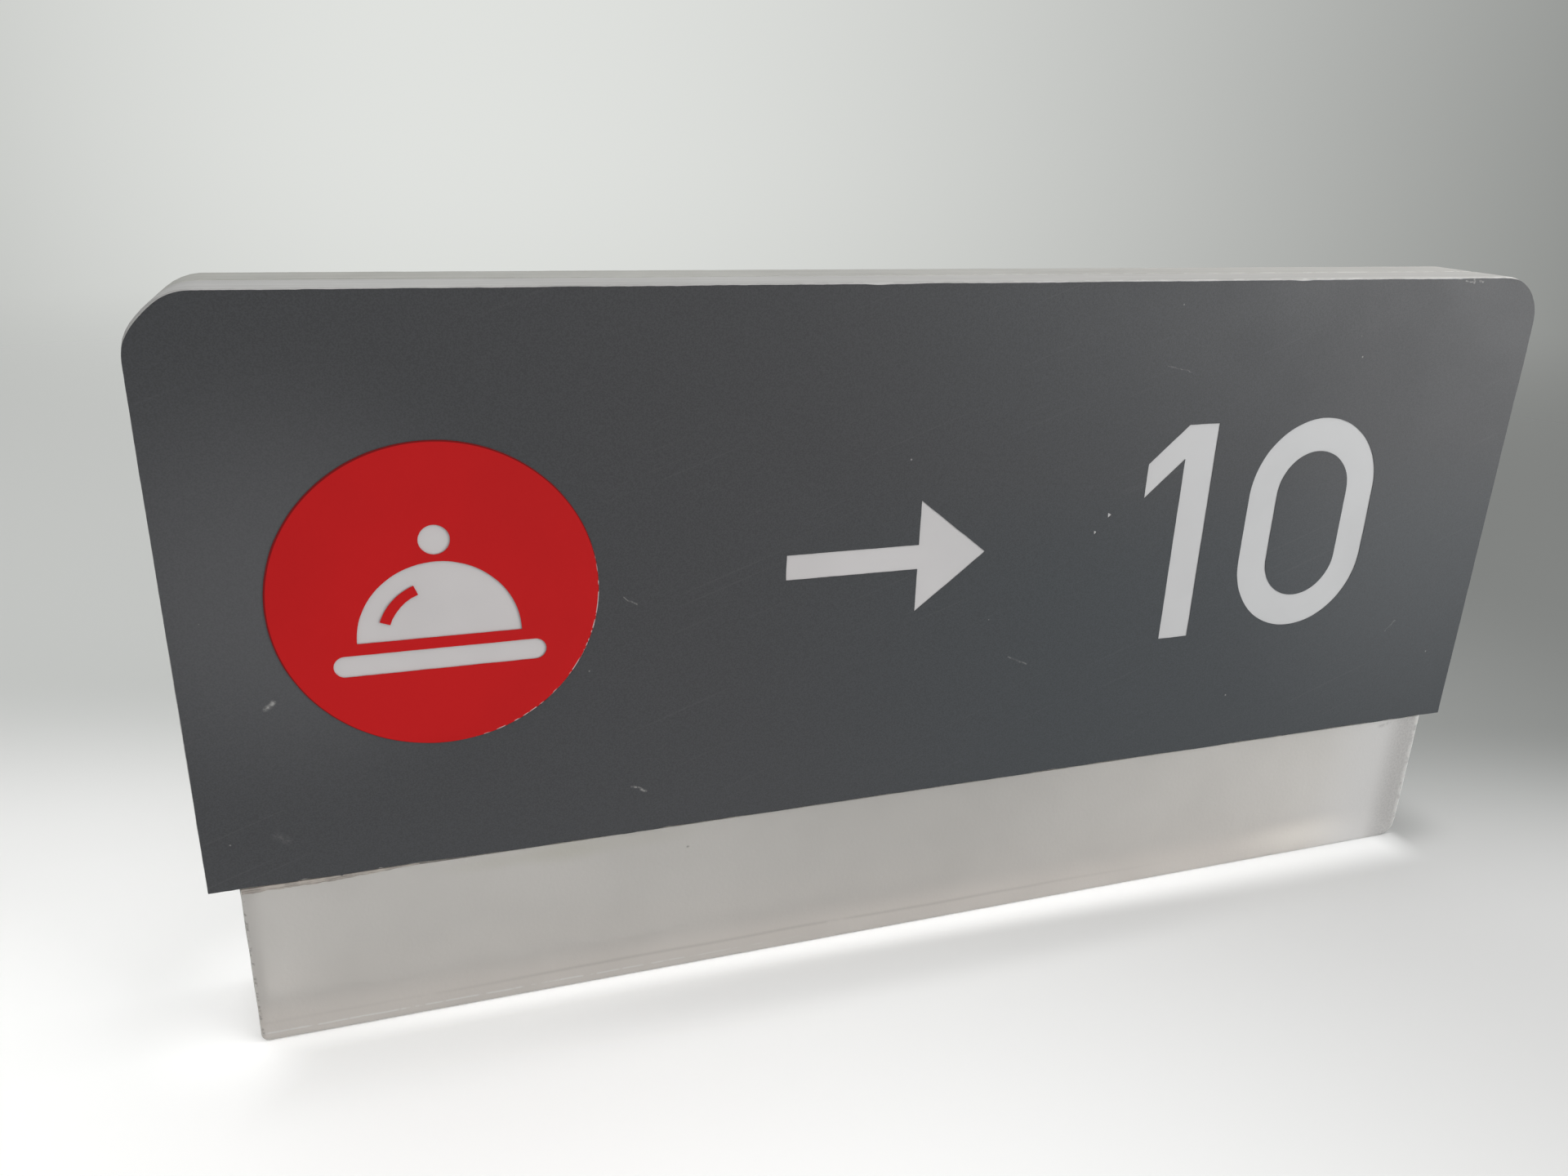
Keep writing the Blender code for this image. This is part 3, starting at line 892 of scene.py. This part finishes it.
def slab_finish(acrylic):
    """Satin slab: warmer near its foot, with painted light: lighter there, to the right, beside its right
    end and low at the right, the end face painted in front of it as seen through the slab, and broken
    highlights along edges; also dirt, smears, pale flecks and a few marks.
    """
    low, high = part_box("base_slab")
    sheet, tone = acrylic_skin(
        "satin base slab", acrylic.slab, acrylic.slab_roughness, acrylic.slab_clear, 5.0)
    parts = sheet.parts(sheet.places())
    x = parts["X"]
    # Painted light: a little darker in the middle and lighter towards the right, where light falls
    middle = sheet.math("ABSOLUTE", sheet.math("ADD", x, 0.008))
    painted_light = sheet.times(sheet.ramp(middle, 0.0, 0.045, 0.965, 1.0),
                        sheet.ramp(x, -0.005, 0.075, 1.0, 1.22))
    tone = sheet.shade(tone, painted_light)
    # Painted glow: warmer near the foot and painted lighter there, as light coming through the slab
    tone = sheet.mix(sheet.ramp(parts["Z"], 0.0025, 0.0080, 0.85, 0.0), tone, acrylic.slab_low_glow)
    tone = sheet.blot(tone, 0.9, acrylic.slab_glow, place=(high.x - 0.0185, low.y, low.z + 0.0036),
                      reach=(0.0165, 0.010, 0.0034))
    for (smear_x, smear_z), (wide, tall), amount in SLAB_SMEARS:
        tone = sheet.blot(tone, amount, acrylic.smear, place=(smear_x, low.y, smear_z),
                          reach=(wide, 0.010, tall))
    # Painted light: a paler band beside the right end, where light comes through the end
    beside_end_light = sheet.ramp(x, high.x - 0.022, high.x - 0.008, 0.0, 0.85)
    tone = sheet.mix(beside_end_light, tone, acrylic.slab_pale_light)
    # The frosted end face's grainy tint, also painted over the front face before it as the end seen
    # through the slab
    grain = sheet.mottle(size=0.0004, detail=3.0, seed=21.0)
    frosted_end_and_refraction = sheet.uneven(acrylic.slab_end, grain, 0.90, 1.10)
    tone = sheet.mix(sheet.ramp(x, high.x - 0.0080, high.x - 0.0026), tone, frosted_end_and_refraction)

    dirty = sheet.times(sheet.ramp(x, -0.080, -0.050, 0.08, 0.24), sheet.ramp(x, 0.055, 0.005))
    left_half = sheet.math("SUBTRACT", 1.0, sheet.ramp(x, -0.060, -0.010))
    tone = sheet.lay("worn line", tone, dirty, acrylic.grime, place=(0.0, 0.0, 0.0031), way=UP,
                     width=0.00040, length=0.010, share=0.75, wander=0.0010)
    # Painted highlight: a broken pale line along the top of the eased foot, on the left half
    tone = sheet.lay("worn line", tone, left_half, acrylic.highlight_and_fleck, place=(0.0, 0.0, 0.00145), way=UP,
                     width=0.00020, length=0.0026, share=0.55, wander=0.0003)
    # Painted highlight: a broken pale line down the right end's front edge
    tone = sheet.lay("worn line", tone, 1.0, acrylic.highlight_and_fleck, place=(high.x - 0.0003, 0.0, 0.0), way=ACROSS,
                     width=0.0010, length=0.0013, share=0.70, wander=0.0006)
    tone = sheet.lay("worn line", tone, 0.75, acrylic.grime, place=(low.x + 0.0003, 0.0, 0.0), way=ACROSS,
                     width=0.00030, length=0.0009, share=0.36, wander=0.0003)
    for mark in SLAB_MARKS:
        tone = sheet.mix(sheet.rubbed(mark), tone, acrylic.grime)
    return sheet.dress({"Base Color": sheet.lay("dust specks", tone, 0.6, acrylic.highlight_and_fleck,
                                                spacing=0.009, size=0.00016, share=0.35)})


def glue_finish(glue):
    """Dried glue: pale brown, with dark cracks along the joint, half glossy."""
    low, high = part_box("glue_bead")
    sheet = new_finish("dried glue")
    drift = sheet.mottle(size=0.0022, detail=4.0, seed=8.0)
    lumps = sheet.mottle(size=0.0008, detail=3.0, seed=9.0)
    tone = sheet.uneven(glue.bead, drift, 0.82, 1.16)
    for level, length in ((0.35, 0.0035), (0.7, 0.0022)):
        height = low.z + (high.z - low.z) * level
        tone = sheet.lay("worn line", tone, 0.7, glue.crack, place=(0.0, 0.0, height), way=UP,
                         width=0.00009, length=length, share=0.5, wander=0.0009)
    return sheet.dress({
        "Base Color": tone,
        "Roughness": sheet.spread(drift, 0.30, 0.48),
        "Normal": sheet.raised(lumps, 0.00005, 0.5),
    })


def bond_finish(glue):
    """Clear bond seen on its edge."""
    sheet = new_finish("clear bond")
    drift = sheet.mottle(size=0.006, detail=4.0, seed=2.0)
    return sheet.dress({
        "Base Color": sheet.uneven(glue.bond, drift, 0.9, 1.05),
        "Roughness": sheet.spread(drift, 0.18, 0.30),
    })


def looked_at(sheet):
    """1 where the stage is seen, straight on, mirrored or through acrylic, and 0 where it gives light."""
    path = sheet.add("LightPath").outputs
    seen = sheet.math("MAXIMUM", path["Is Camera Ray"], path["Is Glossy Ray"])
    return sheet.math("MAXIMUM", seen, path["Is Transmission Ray"])


def floor_finish(stage):
    """Pale floor: a painted glow at the slab's foot and left end, painted lighter in front and at the
    left, painted shadows in front of the foot and beside the right end, darker behind, to the right and
    further out, faded out far away.
    """
    sheet = new_finish("pale floor")
    low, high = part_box("base_slab")
    places = sheet.places()
    parts = sheet.parts(places)
    x = parts["X"]
    away = sheet.vector("LENGTH", places)
    ahead = sheet.math("SUBTRACT", low.y, parts["Y"])
    behind = sheet.vector("DOT_PRODUCT", places, (0.35, 1.0, 0.0))
    outer = sheet.vector("DOT_PRODUCT", places, (-0.35, -1.0, 0.0))
    aside = sheet.vector("ABSOLUTE", sheet.vector("SUBTRACT", places, (low + high) / 2))
    aside = sheet.vector("MAXIMUM", sheet.vector("SUBTRACT", aside, (high - low) / 2))
    aside = sheet.vector("LENGTH", sheet.vector("MULTIPLY", aside, (1.0, 1.0, 0.0)))

    # Painted shadows: a soft band in front of the foot and a patch beside the right end; the floor is
    # also painted darker further out
    shadow_band = sheet.times(sheet.ramp(ahead, 0.001, 0.0075), sheet.ramp(ahead, 0.018, 0.008),
                       sheet.ramp(sheet.math("ABSOLUTE", x), 0.085, 0.020))
    right_end_shadow = sheet.times(sheet.ramp(x, high.x - 0.002, high.x + 0.002),
                            sheet.ramp(ahead, 0.008, -0.003), sheet.ramp(aside, 0.018, 0.0))
    painted_shade = sheet.times(sheet.ramp(away, 0.115, 0.26, 1.0, 0.72), sheet.spread(shadow_band, 1.0, 0.89),
                         sheet.spread(right_end_shadow, 1.0, 0.64), sheet.ramp(outer, 0.065, 0.15, 1.0, 0.78))
    # Painted shade: darker to the right against the lamps there, and darker behind the sign towards the
    # far tints
    near = sheet.mix(sheet.ramp(x, -0.06, 0.13), stage.floor, stage.floor_right_shaded)
    far = sheet.mix(sheet.ramp(x, -0.12, 0.24), stage.far_left, stage.far_right)
    fall = sheet.ramp(behind, stage.fall_start, stage.fall_end)
    tone = sheet.mix(fall, sheet.shade(near, painted_shade), far)

    reach = sheet.ramp(x, -0.050, 0.090, 0.8, 1.8)
    foot = sheet.ramp(sheet.math("DIVIDE", ahead, reach), 0.0055, 0.0005, 0.0, stage.foot_glow)
    for start, end, least, most in (
            (low.x - 0.002, low.x + 0.001, 0.0, 1.0), (-0.095, -0.065, 0.6, 1.0),
            (-0.050, 0.070, 1.0, 1.9), (high.x + 0.002, high.x - 0.006, 0.0, 1.0)):
        foot = sheet.times(foot, sheet.ramp(x, start, end, least, most))
    foot = sheet.times(foot, sheet.math("GREATER_THAN", ahead, -0.0004))
    left_end = sheet.times(sheet.ramp(aside, 0.018, 0.0, 0.0, stage.end_glow),
                           sheet.ramp(x, low.x + 0.008, low.x), sheet.ramp(ahead, 0.014, -0.004))
    open_floor = sheet.math("MAXIMUM", sheet.ramp(ahead, 0.005, 0.019),
                            sheet.ramp(x, low.x + 0.010, low.x - 0.004))
    # Painted light: emission that makes the open floor whiter in front and at the left
    lift = sheet.times(sheet.ramp(x, 0.09, -0.03, 0.0, stage.lift), sheet.ramp(parts["Y"], 0.055, 0.015),
                       open_floor, sheet.ramp(outer, 0.11, 0.06), sheet.ramp(away, 0.21, 0.13))
    glow = sheet.math("ADD", sheet.math("MAXIMUM", foot, left_end), lift)
    seen = looked_at(sheet)
    return sheet.dress({
        "Base Color": sheet.mix(seen, stage.bounce, tone),
        "Emission Color": sheet.times(glow, seen),
        "Emission Strength": 1.0,
        "Roughness": 0.9,
        "Specular IOR Level": 0.1,
        "Alpha": sheet.ramp(away, stage.horizon * 0.28, stage.horizon, 1.0, 0.0),
    })


def studio_world(stage):
    """Light from all round: a pale ceiling over walls that are lightest behind the sign and look pale."""
    world = bpy.data.worlds.new("studio")
    world.use_nodes = True
    tree = world.node_tree
    sheet = NodeSheet(world, tree, tree.nodes["Background"])
    way = sheet.parts(sheet.add("TexCoord").outputs["Generated"])
    right = sheet.math("SUBTRACT", way["X"], 0.05)
    aside = sheet.math("MAXIMUM", right, sheet.times(right, -1.46))
    dim = sheet.math("MULTIPLY", sheet.times(aside, aside), 1.47, clamp=True)
    palest = sheet.math("ADD", sheet.ramp(way["X"], -0.3, 0.3, 0.35, 0.81), 1.0)
    dim = sheet.math("MINIMUM", dim, sheet.math("SUBTRACT", palest, looked_at(sheet)))
    wall = sheet.mix(dim, stage.wall_light, stage.wall_dim)
    wall = sheet.shade(wall, sheet.ramp(way["Z"], -0.40, 0.0, 0.78, 1.0))
    return sheet.dress({"Color": sheet.mix(sheet.ramp(way["Z"], 0.12, 0.65), wall, stage.ceiling)})


# Operators

class TABLESIGN_OT_face_film(bpy.types.Operator):
    """Cut the grey face film and the bit of it inside the nought"""
    bl_idname = "tablesign.face_film"
    bl_label = "Face Film"

    def execute(self, context):
        film = context.scene.table_sign.film
        finish = grey_finish(film)
        slight = film.wander / 2
        low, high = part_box("face_film")
        rim, *holes = outlines_of("face_film")
        outer = strayed(redraw(rim, TRIM_SPACING), film.wander, LONG_GRAIN, 1.0)
        outer = strayed(outer, slight, SHORT_GRAIN, 2.0)
        lowered = strayed(outer, film.trim_wander, LOWER_GRAIN, 3.0)
        for point in lowered:
            point.y -= film.overhang * min(1.0, max(0.0, (point.x - BEAD_END) / BEAD_FADE))
        outer = [b if a.y < low.z + LOWER_EDGE else a for a, b in zip(outer, lowered)]
        cuts = [trimmed(outer, FILM_TRIMS)]
        for i, hole in enumerate(holes):
            cuts.append(strayed(redraw(hole, CUT_SPACING), slight, CUT_GRAIN, 4.0 + i))
        for nick in KNIFE_NICKS:
            cuts.append([Vector(corner) for corner in nick])
        face = cut_sheet("grey_face_film", cuts, high.y - film.thickness, high.y)
        finish_piece(face, "grey_film", finish, "face_film")

        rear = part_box("nought_middle")[1].y
        middle = hand_cuts("nought_middle", slight, CUT_GRAIN, 9.0)
        bit = cut_sheet("nought_middle_film", middle, rear - film.thickness, rear)
        finish_piece(bit, "grey_film", finish, "nought_middle")
        return {"FINISHED"}


class TABLESIGN_OT_badge_film(bpy.types.Operator):
    """Cut the red badge film and the glint inside its bell"""
    bl_idname = "tablesign.badge_film"
    bl_label = "Badge Film"

    def execute(self, context):
        film = context.scene.table_sign.film
        disc = outlines_of("badge_film")[0]
        centre = sum(disc, Vector((0.0, 0.0))) / len(disc)
        finish = red_finish(film, centre, (disc[0] - centre).length)
        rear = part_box("face_film")[1].y - film.thickness - FILM_GAP
        for seed, node, name in (
                (11.0, "badge_film", "red_badge_film"), (15.0, "bell_glint", "bell_glint_film")):
            cuts = hand_cuts(node, film.wander / 2, CUT_GRAIN, seed)
            finish_piece(cut_sheet(name, cuts, rear - film.thickness, rear), "red_film", finish, node)
        return {"FINISHED"}


class TABLESIGN_OT_backing_film(bpy.types.Operator):
    """Lay the white film behind the windows"""
    bl_idname = "tablesign.backing_film"
    bl_label = "Backing Film"

    def execute(self, context):
        film = context.scene.table_sign.film
        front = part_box("face_film")[1].y + FILM_GAP
        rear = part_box("backing_film")[1].y
        cuts = hand_cuts("backing_film", film.wander, BACKING_GRAIN, 20.0)
        cuts = [trimmed(cut, FILM_TRIMS) for cut in cuts]
        backing = cut_sheet("white_backing_film", cuts, front, rear)
        finish_piece(backing, "white_film", white_finish(film), "backing_film")
        return {"FINISHED"}


class TABLESIGN_OT_sheets(bpy.types.Operator):
    """Saw the two acrylic sheets of the body"""
    bl_idname = "tablesign.sheets"
    bl_label = "Body Sheets"

    def execute(self, context):
        acrylic = context.scene.table_sign.acrylic
        for seed, node, left, right in (
                (1.0, "front_sheet", acrylic.front_left_shaded, acrylic.front_right_lit),
                (2.0, "rear_sheet", acrylic.rear_left_shaded, acrylic.rear_right_lit)):
            plate = eased_plate(
                node + "_sawn", node, SHEET_TRIMS, acrylic.sheet_ease, acrylic.ripple, seed)
            finish = sheet_finish(acrylic, node, left, right, seed)
            finish_piece(plate, "frosted_acrylic", finish, node)
        return {"FINISHED"}


class TABLESIGN_OT_base(bpy.types.Operator):
    """Saw and ease the satin slab that the body stands on"""
    bl_idname = "tablesign.base"
    bl_label = "Base Slab"

    def execute(self, context):
        acrylic = context.scene.table_sign.acrylic
        slab = eased_plate(
            "base_slab_satin", "base_slab", SLAB_TRIMS, acrylic.slab_ease, acrylic.ripple, 5.0,
            foot=acrylic.slab_foot, head=acrylic.slab_head)
        finish_piece(slab, "satin_acrylic", slab_finish(acrylic), "base_slab")
        return {"FINISHED"}


class TABLESIGN_OT_glue(bpy.types.Operator):
    """Draw the bead of dried glue, and finish the two bonds"""
    bl_idname = "tablesign.glue"
    bl_label = "Glue and Bonds"

    def execute(self, context):
        glue = context.scene.table_sign.glue
        bond = bond_finish(glue)
        for node in ("sheet_bond", "base_bond"):
            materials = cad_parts[node].data.materials
            materials.clear()
            materials.append(bond)

        low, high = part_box("glue_bead")
        size = high - low
        rings = []
        for i in range(BEAD_STATIONS + 1):
            along = i / BEAD_STATIONS
            x = low.x + size.x * along
            lump = noise.fractal(Vector((x / BEAD_GRAIN, 0.0, BEAD_SEED)), *BEAD_WAVES)
            tail = max(0.0, along - BEAD_TAIL) / (1 - BEAD_TAIL)
            spread = (BEAD_FULL - BEAD_SLOPE * along - BEAD_TAPER * tail) * (1 + glue.lumps * lump)
            height = size.z * min(1.0, max(BEAD_LEAST, spread))
            depth = size.y * min(BEAD_DEEPEST, max(BEAD_LEAST, BEAD_DEPTH * spread))
            ring = []
            for k in range(BEAD_AROUND):
                turn = math.pi / 2 * k / (BEAD_AROUND - 1)
                ring.append((x, high.y - depth * math.cos(turn), high.z - height * math.sin(turn)))
            ring.append((x, high.y, high.z))
            rings.append(ring)
        mesh = lofted("dried_glue_bead", rings)
        mesh.set_sharp_from_angle(angle=SHARP_ANGLE)
        bead = new_piece("dried_glue_bead", mesh)
        finish_piece(bead, "dried_glue", glue_finish(glue), "glue_bead")
        return {"FINISHED"}


class TABLESIGN_OT_stage(bpy.types.Operator):
    """Set up the floor, the lights and the camera"""
    bl_idname = "tablesign.stage"
    bl_label = "Stage"

    def execute(self, context):
        scene = context.scene
        stage = scene.table_sign.stage
        scene.view_settings.view_transform = "Standard"
        scene.world = studio_world(stage)

        ground = bmesh.new()
        bmesh.ops.create_circle(ground, cap_ends=True, radius=FLOOR_RADIUS, segments=FLOOR_SIDES)
        mesh = bpy.data.meshes.new("floor")
        ground.to_mesh(mesh)
        ground.free()
        floor = new_piece("floor", mesh)
        mesh.materials.append(floor_finish(stage))

        for name, place, size, power, spread in (
                ("key", KEY_PLACE, KEY_SIZE, stage.key, math.pi),
                ("side", SIDE_PLACE, SIDE_SIZE, stage.side, stage.side_spread)):
            lamp = bpy.data.lights.new(name, "AREA")
            lamp.shape = "RECTANGLE"
            lamp.size, lamp.size_y = size
            lamp.energy = power
            lamp.spread = spread
            light = new_piece(name, lamp)
            light.location = place
            light.rotation_euler = (LIGHT_AIM - place).to_track_quat("-Z", "Y").to_euler()

        lens = bpy.data.cameras.new("camera")
        lens.sensor_width = SENSOR_WIDTH
        lens.lens = stage.lens
        lens.clip_start = NEAREST_SEEN
        camera = new_piece("camera", lens)
        camera.matrix_world = (Matrix.Translation(stage.eye) @ Matrix.Rotation(-stage.heading, 4, "Z")
                               @ Matrix.Rotation(math.pi / 2 - stage.pitch, 4, "X")
                               @ Matrix.Rotation(stage.roll, 4, "Z"))
        scene.camera = camera
        return {"FINISHED"}


OPERATORS = (
    TABLESIGN_OT_backing_film,
    TABLESIGN_OT_face_film,
    TABLESIGN_OT_badge_film,
    TABLESIGN_OT_sheets,
    TABLESIGN_OT_base,
    TABLESIGN_OT_glue,
    TABLESIGN_OT_stage,
)


class TABLESIGN_PT_looks(bpy.types.Panel):
    """Lists the sign's pieces and their settings"""
    bl_idname = "TABLESIGN_PT_looks"
    bl_label = "Table Sign"
    bl_space_type = "VIEW_3D"
    bl_region_type = "UI"
    bl_category = "Table Sign"

    def draw(self, context):
        layout = self.layout
        for operator in OPERATORS:
            layout.operator(operator.bl_idname)
        settings = context.scene.table_sign
        for part in ("film", "acrylic", "glue", "stage"):
            box = layout.box()
            group = getattr(settings, part)
            for name in group.bl_rna.properties.keys():
                if name not in ("rna_type", "name"):
                    box.prop(group, name)


SETTINGS = (FilmSettings, AcrylicSettings, GlueSettings, StageSettings, SignSettings)
CLASSES = SETTINGS + OPERATORS + (TABLESIGN_PT_looks,)


def register():
    """Make the settings, operators and panel known."""
    for item in CLASSES:
        bpy.utils.register_class(item)
    bpy.types.Scene.table_sign = PointerProperty(
        type=SignSettings, name="Table sign", description="Looks of the sign")


def unregister():
    """Take them away again."""
    del bpy.types.Scene.table_sign
    for item in reversed(CLASSES):
        bpy.utils.unregister_class(item)


def main():
    """Dress the sign piece by piece, then set the stage."""
    register()
    bpy.ops.tablesign.backing_film()
    bpy.ops.tablesign.face_film()
    bpy.ops.tablesign.badge_film()
    bpy.ops.tablesign.sheets()
    bpy.ops.tablesign.base()
    bpy.ops.tablesign.glue()
    bpy.ops.tablesign.stage()


if __name__ == "__main__":
    main()
